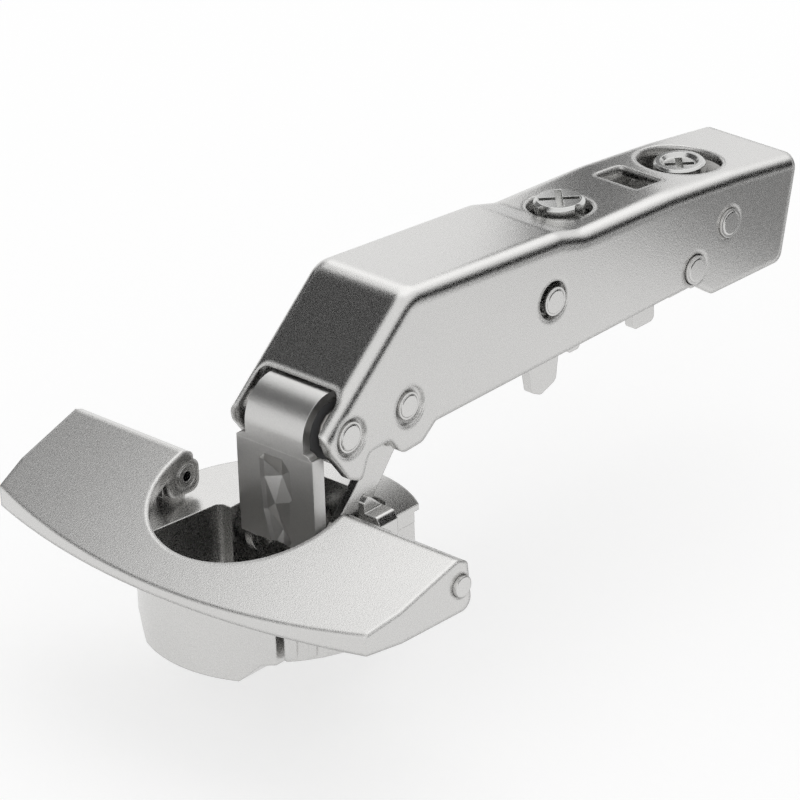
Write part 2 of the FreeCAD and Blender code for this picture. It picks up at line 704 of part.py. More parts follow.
plate = prism(
    "plate", "XY",
    contour([
        (d.plate_rear, -d.plate_half_length, 2.0), (d.plate_front, -d.plate_half_length, 3.0),
        (d.plate_front, d.plate_half_length, 3.0), (d.plate_rear, d.plate_half_length, 2.0),
    ]),
    d.flange_sheet / 2, "sizes.flange_sheet",
)


def lug(label, side):
    pieces = []
    outer_lug = d.flap_half_width - d.flap_sheet - d.lug_sheet - d.lug_gap
    for index, near in enumerate((d.lug_reach, outer_lug)):
        r = d.lug_round
        u, v = d.flap_pin_x, d.flap_pin_z
        pieces.append(prism(
            f"{label}_{index}", "XZ",
            contour([
                (u - r, 0.1), (u - r, v), ("via", u, v + r), (u + r, v), (u + r, 0.1),
            ]),
            side * (near + d.lug_sheet / 2), "sizes.lug_sheet",
        ))
    return fuse(label, *pieces)


mouth = prism(
    "mouth", "XY",
    contour([
        (d.mouth_rear, -d.mouth_rear_half, 0.8), (d.mouth_corner_x, -d.mouth_front_half),
        ("via", d.mouth_front, 0), (d.mouth_corner_x, d.mouth_front_half), (d.mouth_rear, d.mouth_rear_half, 0.8),
    ]),
    -d.lobe_depth / 2 + d.cup_wall / 2 + 1.0, d.lobe_depth - d.cup_wall + 2.0,
)
slot_front = 14.2
link_slot = prism(
    "link_slot", "XY",
    contour([
        (d.slot_rear, -d.slot_half_width, 2.0), (slot_front, -d.slot_half_width), ("via", d.mouth_front, 0),
        (slot_front, d.slot_half_width), (d.slot_rear, d.slot_half_width, 2.0),
    ]),
    -d.cup_depth / 2 + d.cup_wall / 2 + 1.0, d.cup_depth - d.cup_wall + 2.0,
)


def mirrored_box(label, side, low, high):
    """Box with its Y range given for the left side."""
    near, far = sorted((side * low[1], side * high[1]))
    item = doc.addObject("Part::Box", label)
    item.Length = high[0] - low[0]
    item.Width = far - near
    item.Height = high[2] - low[2]
    item.Placement = Placement(Vector(low[0], near, low[2]), Rotation())
    return item


def tab_slot(label, side):
    return mirrored_box(
        label, side,
        (d.tab_rear - d.jaw_gap, d.tab_far - d.tab_sheet - d.jaw_travel - d.jaw_gap, -d.collar_depth - 1),
        (d.tab_front + d.jaw_gap, d.tab_far + d.jaw_gap, d.flange_sheet + 1),
    )


hinge_cup = cut(
    "hinge_cup", fuse("cup_blank", cup_body, collar, flange, plate, pair("lugs", lug)), mouth, link_slot,
    cylinder("rear_pin_seat", "Y", Vector(d.cup_rear_pin_x, -cup_pin_reach, d.cup_rear_pin_z),
             "sizes.cup_rear_pin_radius + sizes.pin_fit", 2 * cup_pin_reach),
    cylinder("front_pin_seat", "Y", Vector(d.cup_front_pin_x, -cup_pin_reach, d.cup_front_pin_z),
             "sizes.cup_front_pin_radius + sizes.pin_fit", 2 * cup_pin_reach),
    cylinder("lug_bore", "Y", Vector(d.flap_pin_x, -40, d.flap_pin_z),
             "sizes.flap_pin_radius + sizes.pin_fit", 80),
    pair("tab_slots", tab_slot),
)

# Cover flap
fall = math.tan(math.radians(d.flap_slope))


flap_back = 0.05
flap_crest = d.flap_rear + 0.4
past_flap = 26.0


def flap_top_at(x, inset):
    return d.flap_high - inset / math.cos(math.radians(d.flap_slope)) - (x - flap_crest) * fall


flap_wedge_outline = [
    (flap_back, d.flap_skirt_low, 1.6), (flap_back + 0.5, d.flap_high - 0.6, 0.8), (flap_crest, d.flap_high),
    (past_flap, flap_top_at(past_flap, 0)), (past_flap, d.flap_skirt_low),
]


def flap_under(inset):
    """Side outline of the room under the sheet, open below and behind."""
    crest = flap_top_at(flap_crest, inset)
    return [(-8.0, -3.0), (-8.0, crest), (flap_crest, crest), (past_flap, flap_top_at(past_flap, inset)), (past_flap, -3.0)]


def flap_plan(inset):
    half = d.flap_half_width - inset
    return [
        (-6, -half), (12.0, -half + 0.5), (d.flap_corner_x - 0.6 * inset, -d.flap_corner_half + 0.8 * inset),
        ("via", d.flap_front - inset, 0), (d.flap_corner_x - 0.6 * inset, d.flap_corner_half - 0.8 * inset),
        (12.0, half - 0.5), (-6, half),
    ]


def notch_plan(grow):
    reach = d.notch_radius + grow
    return [(-8, -reach), (d.notch_x, -reach), ("via", d.notch_x + reach, 0), (d.notch_x, reach), (-8, reach)]


flap_outer = common(
    "flap_outer",
    prism("flap_wedge", "XZ", contour(flap_wedge_outline), 0, "2 * sizes.flap_half_width"),
    prism("flap_plate", "XY", contour(flap_plan(0)), 5, 20),
)
flap_inside = common(
    "flap_inside",
    prism("flap_inner_wedge", "XZ", contour(flap_under(d.flap_sheet)), 0, "2 * (sizes.flap_half_width - sizes.flap_sheet)"),
    prism("flap_inner_plate", "XY", contour(flap_plan(d.flap_sheet)), 5, 20),
)
flap_rim = prism("flap_rim", "XY", contour(notch_plan(d.flap_sheet)), 5, 20)
flap_below_rim = prism(
    "flap_below_rim", "XZ", contour(flap_under(d.flap_sheet + d.rim_depth)), 0,
    "2 * (sizes.notch_radius + sizes.flap_sheet) + 2",
)
flap_hollow = fuse(
    "flap_hollow", cut("flap_room", flap_inside, flap_rim),
    common("flap_room_low", flap_below_rim, prism("flap_low_plate", "XY", contour(flap_plan(d.flap_sheet)), 5, 20)),
)


def flap_ear(label, side):
    u, v = d.flap_pin_x, d.flap_pin_z
    return prism(
        label, "XZ",
        contour([
            (-0.4, 1.4, 1.4), (-0.4, 6.1, 1.5), (u + 3.4, 5.5), (u + 3.0, 1.6, 1.4),
        ]),
        side * (d.notch_radius + d.flap_sheet / 2), "sizes.flap_sheet",
    )


def corner_relief(label, side):
    """Small round relief at the rear end of the bend between top and skirt."""
    return cylinder(
        label, "Z", Vector(flap_back, side * (d.flap_half_width - d.relief_in), d.flap_high - 2.2),
        "sizes.relief_radius", 4.0,
    )


cover_flap = cut(
    "cover_flap",
    fuse("flap_blank", cut("flap_shell", flap_outer, flap_hollow), pair("flap_ears", flap_ear)),
    prism("flap_notch", "XY", contour(notch_plan(0)), 5, 24),
    cylinder("flap_bore", "Y", Vector(d.flap_pin_x, -40, d.flap_pin_z),
             "sizes.flap_pin_radius + sizes.running_fit", 80),
    pair("corner_reliefs", corner_relief),
)


def flap_pin(label, side):
    near = d.notch_radius - 0.1
    length = d.flap_half_width + 0.2 - near
    start = near if side > 0 else -near - length
    solid = cylinder(label + "_solid", "Y", Vector(d.flap_pin_x, start, d.flap_pin_z), "sizes.flap_pin_radius", length)
    bore = cylinder(label + "_bore", "Y", Vector(d.flap_pin_x, start - 1, d.flap_pin_z), 0.7, length + 2)
    return cut(label, solid, bore)


flap_pins = pair("flap_pins", flap_pin)

# Clamp jaws
jaw_inner = d.body_half_width + d.jaw_travel + d.jaw_gap
jaw_rear_inner = d.body_rear_half_width + d.jaw_travel + d.jaw_gap
jaw_step_x = d.body_step_x - 0.6
jaw_top = -d.collar_depth - d.jaw_under


def crescent(label, side, inset, low, high, past):
    """Side segment of the cup's circle; inset leaves a wall, past reaches inwards."""
    radius = d.cup_radius - inset
    inner = jaw_inner - past
    rear_inner = jaw_rear_inner - past
    front_x = on_circle(radius, jaw_inner + 0.2) if past else on_circle(radius, jaw_inner)
    rear_x = -on_circle(radius, jaw_rear_inner + 0.2) if past else -on_circle(radius, jaw_rear_inner)
    top = (radius * math.cos(math.radians(95)), side * radius * math.sin(math.radians(95)))
    points = [(front_x, side * (jaw_inner + (0.2 if past else 0))), ("via", *top)]
    points += [(rear_x, side * (jaw_rear_inner + (0.2 if past else 0))), (rear_x, side * rear_inner)]
    points += [(jaw_step_x, side * rear_inner), (jaw_step_x, side * inner), (front_x, side * inner)]
    clean = [points[0]]
    for point in points[1:]:
        if point[0] == "via" or math.dist(point[-2:], clean[-1][-2:]) > 1e-6:
            clean.append(point)
    if math.dist(clean[-1][:2], clean[0][:2]) < 1e-6:
        clean.pop()
    return prism(label, "XY", contour(clean), (low + high) / 2, high - low)


def jaw(name, side):
    blank = crescent(name + "_blank", side, 0.0, -d.lobe_depth, jaw_top, 0.0)
    room = crescent(
        name + "_room", side, d.jaw_sheet, -d.lobe_depth + d.jaw_sheet, jaw_top - d.jaw_sheet, 4.0
    )
    dents = []
    for k, angle in enumerate((53.0, 61.0, 128.0)):
        turn = math.radians(side * angle)
        reach = d.cup_radius + 0.6
        dents.append(cylinder(
            f"{name}_dent_{k}", "Z",
            Vector(reach * math.cos(turn), reach * math.sin(turn), -d.lobe_depth - 0.5), 1.0, 3.6,
        ))
    smooth = rounded(
        name + "_smooth", blank, d.jaw_round,
        lambda e: e.BoundBox.ZLength < 1e-6 and abs(e.BoundBox.ZMin + d.lobe_depth) < 1e-3
        and isinstance(e.Curve, Part.Circle),
    )
    tab = prism(
        name + "_tab", "XZ",
        contour([
            (d.tab_front, jaw_top - d.jaw_sheet), (d.tab_front, d.tab_high - 0.7, 0.3),
            (d.tab_front - 0.9, d.tab_high, 0.4), (d.tab_rear + 0.3, d.tab_high - 1.8),
            (d.tab_rear, d.tab_high - 2.1), (d.tab_rear, jaw_top - d.jaw_sheet),
        ]),
        side * (d.tab_far - d.tab_sheet / 2), "sizes.tab_sheet",
    )
    inner = d.tab_far - d.tab_sheet / 2
    shelf = prism(
        name + "_shelf", "YZ",
        contour([
            (side * u, v, *r) for u, v, *r in (
                (inner, d.shelf_high - d.tab_sheet), (inner, d.shelf_high), (d.shelf_far - 0.6, d.shelf_high, 0.5),
                (d.shelf_far, d.shelf_high - 1.1, 0.5), (d.shelf_far, d.shelf_low),
                (d.shelf_far - d.tab_sheet, d.shelf_low), (d.shelf_far - d.tab_sheet, d.shelf_high - d.tab_sheet),
            )
        ]),
        (d.tab_front + d.tab_rear) / 2, "sizes.tab_front - sizes.tab_rear",
    )
    return fuse(name, cut(name + "_shell", smooth, room, *dents), tab, shelf)


clamp_jaw_left = jaw("clamp_jaw_left", 1)
clamp_jaw_right = jaw("clamp_jaw_right", -1)

# Springs
def wire_along(points, radius):
    """Round wire along straight runs with mitred corners."""
    path = Part.makePolygon(points)
    ring = Part.Wire(Part.makeCircle(radius, points[0], points[1] - points[0]))
    return path.makePipeShell([ring], True, False, 1)


runs_per_turn = 14


def coil(centre, radius, wire, start_y, turns, side):
    """Points of helical turns about Y that start at the top."""
    pitch = 2 * wire + 0.1
    count = round(runs_per_turn * turns)
    points = []
    for k in range(count + 1):
        turn = turns * k / count
        angle = 2 * math.pi * turn
        points.append(centre + Vector(
            radius * math.sin(angle), start_y + side * pitch * turn, radius * math.cos(angle)
        ))
    return points


def closing_spring_shape():
    centre = Vector(d.outer_pin_x, 0, d.outer_pin_z)
    wire = d.spring_wire
    inner = d.eye_half_width + 0.15 + wire
    path = []
    for side in (1, -1):
        turns = coil(centre, d.spring_coil_radius, wire, side * inner, d.spring_turns, side)
        rest = Vector(-11.6, turns[0].y, 18.6)
        shoulder = Vector(-11.6, turns[-1].y, 18.2)
        tail = Vector(-22.0, turns[-1].y, 19.2)
        half = [rest] + turns + [shoulder, tail]
        path = half[::-1] if side > 0 else path + half
    return wire_along(path, wire)


def feature(name, shape):
    item = doc.addObject("Part::Feature", name)
    item.Shape = shape
    return item


closing_spring = feature("closing_spring", closing_spring_shape())


def catch_spring_shape():
    centre = Vector(d.catch_pin_x, 0, d.catch_pin_z)
    wire = 0.3
    start = d.catch_half_width + 0.1 + wire
    turns = coil(centre, d.catch_pin_radius + 0.1 + wire, wire, start, 1.0, 1)
    end = Vector(turns[-1].x + 4.0, turns[-1].y, 12.9)
    return wire_along(turns + [end], wire)


catch_spring = feature("catch_spring", catch_spring_shape())

NODES = [
    clip_adapter, catch_lever, catch_pin, catch_spring, middle_channel, channel_rivets,
    depth_adjust_screw, side_adjust_screw, side_screw_bush, arm_shell, outer_link_pin,
    inner_link_pin, pin_washers, closing_spring, outer_link, link_bush, inner_link, hinge_cup,
    cup_pin_rear, cup_pins_front, cover_flap, flap_pins, clamp_jaw_left, clamp_jaw_right,
]
doc.recompute()
for item in doc.Objects:
    if "Invalid" in item.State or "Error" in item.State:
        raise RuntimeError(f"{item.Label} failed: {item.State}")
for node in NODES:
    shape = node.Shape
    if shape.isNull() or not shape.isValid() or shape.Volume <= 0:
        raise RuntimeError(f"{node.Label} has no valid shape")
    print(node.Label, len(shape.Solids), round(shape.Volume, 1))
    shape.exportStep(f"parts/{node.Label}.step")
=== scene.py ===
# %% [markdown]
# # A concealed cup hinge, dressed and lit
# The hinge is a folded nickel-plated arm, a pair of links and a round cup with a notched flap.
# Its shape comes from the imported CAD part, so this lesson is about finish, small detail and light.

# %% Load the frame
import bpy
import bmesh
import json
import math
from mathutils import Matrix, Vector


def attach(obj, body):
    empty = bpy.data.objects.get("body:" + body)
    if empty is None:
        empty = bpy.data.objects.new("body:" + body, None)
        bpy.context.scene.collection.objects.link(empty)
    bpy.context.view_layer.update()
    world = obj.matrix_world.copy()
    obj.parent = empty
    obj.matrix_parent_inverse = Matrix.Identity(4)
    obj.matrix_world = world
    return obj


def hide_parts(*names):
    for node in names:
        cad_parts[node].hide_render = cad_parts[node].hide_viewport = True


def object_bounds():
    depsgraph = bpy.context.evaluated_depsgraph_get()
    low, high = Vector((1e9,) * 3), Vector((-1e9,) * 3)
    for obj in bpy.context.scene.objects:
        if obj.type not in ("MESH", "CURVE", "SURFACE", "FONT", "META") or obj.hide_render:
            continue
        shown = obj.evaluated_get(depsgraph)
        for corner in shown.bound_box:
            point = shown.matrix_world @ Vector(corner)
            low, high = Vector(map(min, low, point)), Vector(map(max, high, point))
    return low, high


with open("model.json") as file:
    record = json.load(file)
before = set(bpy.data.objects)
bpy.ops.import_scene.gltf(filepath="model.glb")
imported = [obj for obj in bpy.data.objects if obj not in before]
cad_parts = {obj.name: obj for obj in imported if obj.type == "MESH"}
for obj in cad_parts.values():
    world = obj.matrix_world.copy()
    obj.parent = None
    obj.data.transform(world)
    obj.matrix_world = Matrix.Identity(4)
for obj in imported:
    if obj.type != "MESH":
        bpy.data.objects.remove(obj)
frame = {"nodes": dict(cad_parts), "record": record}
nodes = frame["nodes"]
cad_low, cad_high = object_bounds()
mm = 0.001
collection = bpy.context.scene.collection

# %% [markdown]
# ## Fine grain of the plating
# Nickel on pressed sheet isn't a mirror: under a lamp it shows a fine sandy grain, about a fifth of
# a millimetre across. Two noises of different sizes give it, a fine one for the grain and a broad one
# for the slow change of tone over a pressed face. Several finishes share it, so it is a node group.

# %% Helpers for node trees
def new_group(name, inputs, outputs):
    """Shader node group with its sockets and the two end nodes."""
    group = bpy.data.node_groups.new(name, "ShaderNodeTree")
    for label, kind, value in inputs:
        socket = group.interface.new_socket(name=label, in_out="INPUT", socket_type=kind)
        socket.default_value = value
    for label, kind in outputs:
        group.interface.new_socket(name=label, in_out="OUTPUT", socket_type=kind)
    start = group.nodes.new("NodeGroupInput")
    end = group.nodes.new("NodeGroupOutput")
    return group, start, end


def maths(tree, operation, first, second):
    """Math node whose two inputs are numbers or sockets."""
    node = tree.nodes.new("ShaderNodeMath")
    node.operation = operation
    for socket, value in zip(node.inputs, (first, second)):
        if isinstance(value, (int, float)):
            socket.default_value = value
        else:
            tree.links.new(value, socket)
    return node.outputs[0]


def noise(tree, coordinates, scale, detail):
    """Noise from 0 to 1, whose scale comes from a socket."""
    node = tree.nodes.new("ShaderNodeTexNoise")
    node.inputs["Detail"].default_value = detail
    tree.links.new(coordinates, node.inputs["Vector"])
    tree.links.new(scale, node.inputs["Scale"])
    return node.outputs["Fac"]


# %% Grain group
sheet_scale = 5200.0
fine_share = 0.75
grain_group, start, end = new_group(
    "plating_grain",
    [("Grain Scale", "NodeSocketFloat", sheet_scale), ("Cloud Scale", "NodeSocketFloat", 45.0),
     ("Contrast", "NodeSocketFloat", 0.12)],
    [("Tone", "NodeSocketFloat"), ("Height", "NodeSocketFloat")],
)
place = grain_group.nodes.new("ShaderNodeTexCoord").outputs["Object"]
fine = noise(grain_group, place, start.outputs["Grain Scale"], 2.0)
cloud = noise(grain_group, place, start.outputs["Cloud Scale"], 3.0)
fine_part = maths(grain_group, "MULTIPLY", fine, fine_share)
cloud_part = maths(grain_group, "MULTIPLY", cloud, 1.0 - fine_share)
centred = maths(grain_group, "SUBTRACT", maths(grain_group, "ADD", fine_part, cloud_part), 0.5)
swing = maths(grain_group, "MULTIPLY", centred, start.outputs["Contrast"])
grain_group.links.new(maths(grain_group, "ADD", swing, 1.0), end.inputs["Tone"])
grain_group.links.new(fine, end.inputs["Height"])
print("group:", grain_group.name)

# %% [markdown]
# ## Soft edges
# A pressed edge is never a knife edge. The Bevel node rounds the shading near each edge, by a few
# tenths of a millimetre on most pieces, so that every outline catches a thin line of light.

# %% Edge group
edge_group, start, end = new_group(
    "soft_edge", [("Radius", "NodeSocketFloat", 0.2 * mm)], [("Normal", "NodeSocketVector")]
)
round_edge = edge_group.nodes.new("ShaderNodeBevel")
round_edge.samples = 6
edge_group.links.new(start.outputs["Radius"], round_edge.inputs["Radius"])
edge_group.links.new(round_edge.outputs["Normal"], end.inputs["Normal"])
print("group:", edge_group.name)

# %% [markdown]
# ## Metals
# Each metal is one Principled shader with its own colour, roughness and grain. Satin nickel is
# light and a little warm, that of the outer link is duller, turned pins and screws have less grain,
# and spring wire is dark. The grain tints the base colour, and its height makes the roughness
# uneven and gives the fine relief.

# %% Helpers for finishes
def new_material(name):
    """Material with its node tree and its Principled shader."""
    material = bpy.data.materials.new(name)
    material.use_nodes = True
    return material, material.node_tree, material.node_tree.nodes["Principled BSDF"]


def grained_colour(tree, shader, colour, grain):
    """Tint the base colour with the grain's tone and return the node of the grain."""
    surface = tree.nodes.new("ShaderNodeGroup")
    surface.node_tree = grain_group
    surface.inputs["Grain Scale"].default_value = grain
    tint = tree.nodes.new("ShaderNodeMix")
    tint.data_type = "RGBA"
    tint.blend_type = "MULTIPLY"
    tint.inputs["Factor"].default_value = 1.0
    tint.inputs["A"].default_value = (*colour, 1.0)
    tree.links.new(surface.outputs["Tone"], tint.inputs["B"])
    tree.links.new(tint.outputs["Result"], shader.inputs["Base Color"])
    return surface


def metal(name, colour, roughness, edge, contrast, bump=0.10, spread=0.12, grain=sheet_scale):
    """Plated metal with grain in its colour, its roughness and its surface."""
    material, tree, shader = new_material(name)
    shader.inputs["Metallic"].default_value = 1.0
    material.diffuse_color = (*colour, 1.0)
    surface = grained_colour(tree, shader, colour, grain)
    surface.inputs["Contrast"].default_value = contrast
    uneven = maths(tree, "MULTIPLY", surface.outputs["Height"], spread)
    tree.links.new(maths(tree, "ADD", uneven, roughness - spread / 2), shader.inputs["Roughness"])
    edges = tree.nodes.new("ShaderNodeGroup")
    edges.node_tree = edge_group
    edges.inputs["Radius"].default_value = edge
    relief = tree.nodes.new("ShaderNodeBump")
    relief.inputs["Strength"].default_value = bump
    relief.inputs["Distance"].default_value = 0.05 * mm
    tree.links.new(surface.outputs["Height"], relief.inputs["Height"])
    tree.links.new(edges.outputs["Normal"], relief.inputs["Normal"])
    tree.links.new(relief.outputs["Normal"], shader.inputs["Normal"])
    return material


# %% Metal finishes
nickel = (0.64, 0.635, 0.625)
satin = 0.26
sheet = {"contrast": 0.28, "bump": 0.22, "spread": 0.2}
turned = {"edge": 0.12 * mm, "contrast": 0.08, "grain": 6500.0}
finishes = {
    "nickel_sheet": metal("satin_nickel", nickel, satin, 0.25 * mm, **sheet),
    "link_sheet": metal("link_nickel", nickel, 0.36, 0.1 * mm, **sheet),
    "pin_steel": metal("turned_nickel", (0.66, 0.655, 0.645), satin, **turned),
    "screw_zinc": metal("screw_plating", (0.64, 0.64, 0.63), 0.24, **turned),
    "spring_steel": metal("spring_wire", (0.30, 0.29, 0.28), 0.35, 0.1 * mm, 0.2),
}
print("metals:", ", ".join(m.name for m in finishes.values()))

# %% [markdown]
# ## Bush plastic
# The bush between link and pin is moulded plastic. It is not metallic, has a faint mottle and a
# broad soft gloss.

# %% Plastic finish
plastic, tree, shader = new_material("bush_plastic")
shader.inputs["Metallic"].default_value = 0.0
shader.inputs["Roughness"].default_value = 0.5
grained_colour(tree, shader, (0.12, 0.12, 0.125), 3000.0)
finishes["bush_plastic"] = plastic
print("plastic:", plastic.name)

# %% [markdown]
# ## Dress the CAD nodes
# The record says which finish each node takes. Every material slot of a node gets that finish;
# the mesh itself stays as it was packed. The arm and the flap are bent more gently than the small
# pieces, so their nickel has a broader soft edge, which draws the dark and bright bands of a bend.

# %% Assign finishes
def dress(node, finish):
    """Put one finish in every material slot of a CAD node."""
    slots = node.data.materials
    if not slots:
        slots.append(finish)
    for index in range(len(slots)):
        slots[index] = finish


for part in frame["record"]["subparts"]:
    dress(nodes[part["node"]], finishes[part["material_slot"]])
for name, bend in (("arm_shell", 1.0 * mm), ("cover_flap", 0.8 * mm)):
    dress(nodes[name], metal(name + "_nickel", nickel, satin, bend, **sheet))

# %% [markdown]
# ## Peened pin ends
# Where a pin is riveted, its end is pressed out into a shallow disc with a bevelled rim. The same
# small disc repeats on every pin, so Geometry Nodes place it. The ends are found from the pins' own
# meshes: the points that lie furthest out on each side, gathered into round patches.

# %% Find the pin ends
flatness = 0.02 * mm
patch_reach = 4.6 * mm


def pin_ends(node_name):
    """Centre, radius and side of each flat pin end at the outer faces of a node."""
    points = [v.co for v in nodes[node_name].data.vertices]
    found = []
    for side in (1, -1):
        far = max(side * p.y for p in points)
        groups = []
        for p in points:
            if side * p.y < far - flatness:
                continue
            for group in groups:
                if math.dist((p.x, p.z), group[0]) < patch_reach:
                    group.append((p.x, p.z))
                    break
            else:
                groups.append([(p.x, p.z)])
        for group in groups:
            xs, zs = [g[0] for g in group], [g[1] for g in group]
            centre = Vector(((min(xs) + max(xs)) / 2, side * far, (min(zs) + max(zs)) / 2))
            found.append((centre, (max(xs) - min(xs)) / 2, side))
    return found


for name in ("outer_link_pin", "inner_link_pin", "channel_rivets", "flap_pins"):
    for centre, radius, side in pin_ends(name):
        print(name, [round(v / mm, 1) for v in centre], "radius", round(radius / mm, 2))

# %% Pin end tree
disc_sides = 40
rim_taper = 0.86


def pin_end_tree(finish):
    """Geometry Nodes tree that sets a shallow turned disc on each point."""
    tree = bpy.data.node_groups.new("pin_end_discs", "GeometryNodeTree")
    face = tree.interface
    face.new_socket(name="Points", in_out="INPUT", socket_type="NodeSocketGeometry")
    radius = face.new_socket(name="Disc Radius", in_out="INPUT", socket_type="NodeSocketFloat")
    height = face.new_socket(name="Disc Height", in_out="INPUT", socket_type="NodeSocketFloat")
    face.new_socket(name="Discs", in_out="OUTPUT", socket_type="NodeSocketGeometry")
    start = tree.nodes.new("NodeGroupInput")
    end = tree.nodes.new("NodeGroupOutput")
    disc = tree.nodes.new("GeometryNodeMeshCone")
    disc.fill_type = "NGON"
    disc.inputs["Vertices"].default_value = disc_sides
    tree.links.new(start.outputs["Disc Radius"], disc.inputs["Radius Bottom"])
    tree.links.new(start.outputs["Disc Height"], disc.inputs["Depth"])
    inner = maths(tree, "MULTIPLY", start.outputs["Disc Radius"], rim_taper)
    tree.links.new(inner, disc.inputs["Radius Top"])
    outward = tree.nodes.new("GeometryNodeInputNamedAttribute")
    outward.data_type = "FLOAT_VECTOR"
    outward.inputs["Name"].default_value = "outward"
    turn = tree.nodes.new("FunctionNodeAlignRotationToVector")
    turn.axis = "Z"
    tree.links.new(outward.outputs["Attribute"], turn.inputs["Vector"])
    copies = tree.nodes.new("GeometryNodeInstanceOnPoints")
    tree.links.new(start.outputs["Points"], copies.inputs["Points"])
    tree.links.new(disc.outputs["Mesh"], copies.inputs["Instance"])
    tree.links.new(turn.outputs["Rotation"], copies.inputs["Rotation"])
    real = tree.nodes.new("GeometryNodeRealizeInstances")
    tree.links.new(copies.outputs["Instances"], real.inputs["Geometry"])
    paint = tree.nodes.new("GeometryNodeSetMaterial")
    paint.inputs["Material"].default_value = finish
    tree.links.new(real.outputs["Geometry"], paint.inputs["Geometry"])
    tree.links.new(paint.outputs["Geometry"], end.inputs["Discs"])
    return tree, radius.identifier, height.identifier


disc_tree, radius_socket, height_socket = pin_end_tree(finishes["pin_steel"])
print("tree:", disc_tree.name)

# %% Place the discs
def pin_discs(name, body, pins, radius, height):
    """One plain mesh of discs on the ends of a node's pins, riding on a body."""
    ends = pin_ends(pins)
    points = bpy.data.meshes.new(name + "_points")
    points.from_pydata([tuple(centre) for centre, _, _ in ends], [], [])
    outward = points.attributes.new("outward", "FLOAT_VECTOR", "POINT")
    for k, (_, _, side) in enumerate(ends):
        outward.data[k].vector = (0.0, float(side), 0.0)
    carrier = bpy.data.objects.new(name + "_carrier", points)
    collection.objects.link(carrier)
    modifier = carrier.modifiers.new("discs", "NODES")
    modifier.node_group = disc_tree
    modifier[radius_socket] = radius
    modifier[height_socket] = height
    drawn = carrier.evaluated_get(bpy.context.evaluated_depsgraph_get())
    mesh = bpy.data.meshes.new_from_object(drawn)
    bpy.data.objects.remove(carrier)
    piece = bpy.data.objects.new(name, mesh)
    collection.objects.link(piece)
    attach(piece, body)
    print(name, len(mesh.polygons), "faces")


rivet_height = 0.14 * mm
pin_discs("outer_pin_discs", "arm", "outer_link_pin", 1.75 * mm, rivet_height)
pin_discs("inner_pin_discs", "arm", "inner_link_pin", 1.55 * mm, rivet_height)
pin_discs("channel_rivet_discs", "channel", "channel_rivets", 1.65 * mm, rivet_height)
pin_discs("flap_pin_caps", "cup", "flap_pins", 1.38 * mm, 0.08 * mm)

# %% [markdown]
# ## Trimmed copies
# Three pressed pieces are finished one by one. The collar of the cup and the left clamp jaw stop
# short at the rear corner, and the right jaw keeps only its lower part, so its slot is closed.
# Boxes cut a copy of each, because a box says in millimetres what is taken away. Each copy stands
# in the place of its CAD node and rides on the same body.

# %% Copies and tool bodies
def merged_copy(node_name, name):
    """Copy of a CAD node with its doubled points merged."""
    mesh = nodes[node_name].data.copy()
    mesh.attributes.remove(mesh.attributes["custom_normal"])
    work = bmesh.new()
    work.from_mesh(mesh)
    bmesh.ops.remove_doubles(work, verts=work.verts, dist=0.001 * mm)
    work.to_mesh(mesh)
    work.free()
    piece = bpy.data.objects.new(name, mesh)
    collection.objects.link(piece)
    return piece


def solid(name, points, faces):
    """Closed tool body from points in millimetres, with its normals outward."""
    mesh = bpy.data.meshes.new(name)
    mesh.from_pydata([tuple(c * mm for c in p) for p in points], [], faces)
    work = bmesh.new()
    work.from_mesh(mesh)
    bmesh.ops.triangulate(work, faces=work.faces)
    bmesh.ops.recalc_face_normals(work, faces=work.faces)
    work.to_mesh(mesh)
    work.free()
    tool = bpy.data.objects.new(name, mesh)
    collection.objects.link(tool)
    return tool


def block(name, low, high):
    """Box between two corners in millimetres."""
    xs, ys, zs = zip(low, high)
    points = [(x, y, z) for x in xs for y in ys for z in zs]
    faces = [(0, 1, 3, 2), (4, 6, 7, 5), (0, 4, 5, 1), (2, 3, 7, 6), (0, 2, 6, 4), (1, 5, 7, 3)]
    return solid(name, points, faces)


# %% Cuts and places
smooth_below = math.radians(28)


def combine(piece, operation, tool):
    """Exact Boolean of a piece with a tool body, applied at once."""
    modifier = piece.modifiers.new("combine", "BOOLEAN")
    modifier.operation = operation
    modifier.solver = "EXACT"
    modifier.object = tool
    drawn = piece.evaluated_get(bpy.context.evaluated_depsgraph_get())
    mesh = bpy.data.meshes.new_from_object(drawn)
    piece.modifiers.clear()
    piece.data = mesh
    bpy.data.objects.remove(tool)


def stand_in(piece, node_name, body, finish):
    """Give a finished copy its finish, its body and the place of its node."""
    piece.data.materials.clear()
    piece.data.materials.append(finish)
    piece.data.shade_smooth()
    piece.data.set_sharp_from_angle(angle=smooth_below)
    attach(piece, body)
    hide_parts(node_name)
    print(piece.name, len(piece.data.polygons), "faces")


# %% Trim cup and jaws
# All in millimetres; past is further out than any face of these pieces.
corner_x = -5.3
past = 40
cup = merged_copy("hinge_cup", "trimmed_cup")
combine(cup, "DIFFERENCE", block("rear_corner", (-past, 9.95, -past), (corner_x, past, 6)))
combine(cup, "UNION", block("slot_fill", (-5.4, -13.6, 0.05), (-1.5, -11.3, 0.8)))
stand_in(cup, "hinge_cup", "cup", finishes["nickel_sheet"])
left_jaw = merged_copy("clamp_jaw_left", "trimmed_jaw_left")
combine(left_jaw, "DIFFERENCE", block("jaw_corner", (-past, -past, -past), (corner_x, past, past)))
stand_in(left_jaw, "clamp_jaw_left", "jaw_left", finishes["nickel_sheet"])
right_jaw = merged_copy("clamp_jaw_right", "trimmed_jaw_right")
combine(right_jaw, "DIFFERENCE", block("jaw_top", (-past, -past, -1.44), (past, past, past)))
stand_in(right_jaw, "clamp_jaw_right", "jaw_right", finishes["nickel_sheet"])

# %% [markdown]
# ## Pressed pocket of the outer link
# The broad web of the outer link carries a tapered pocket with flat facets, which catch the light
# one by one. The web is first made full, then the pocket is cut into it.

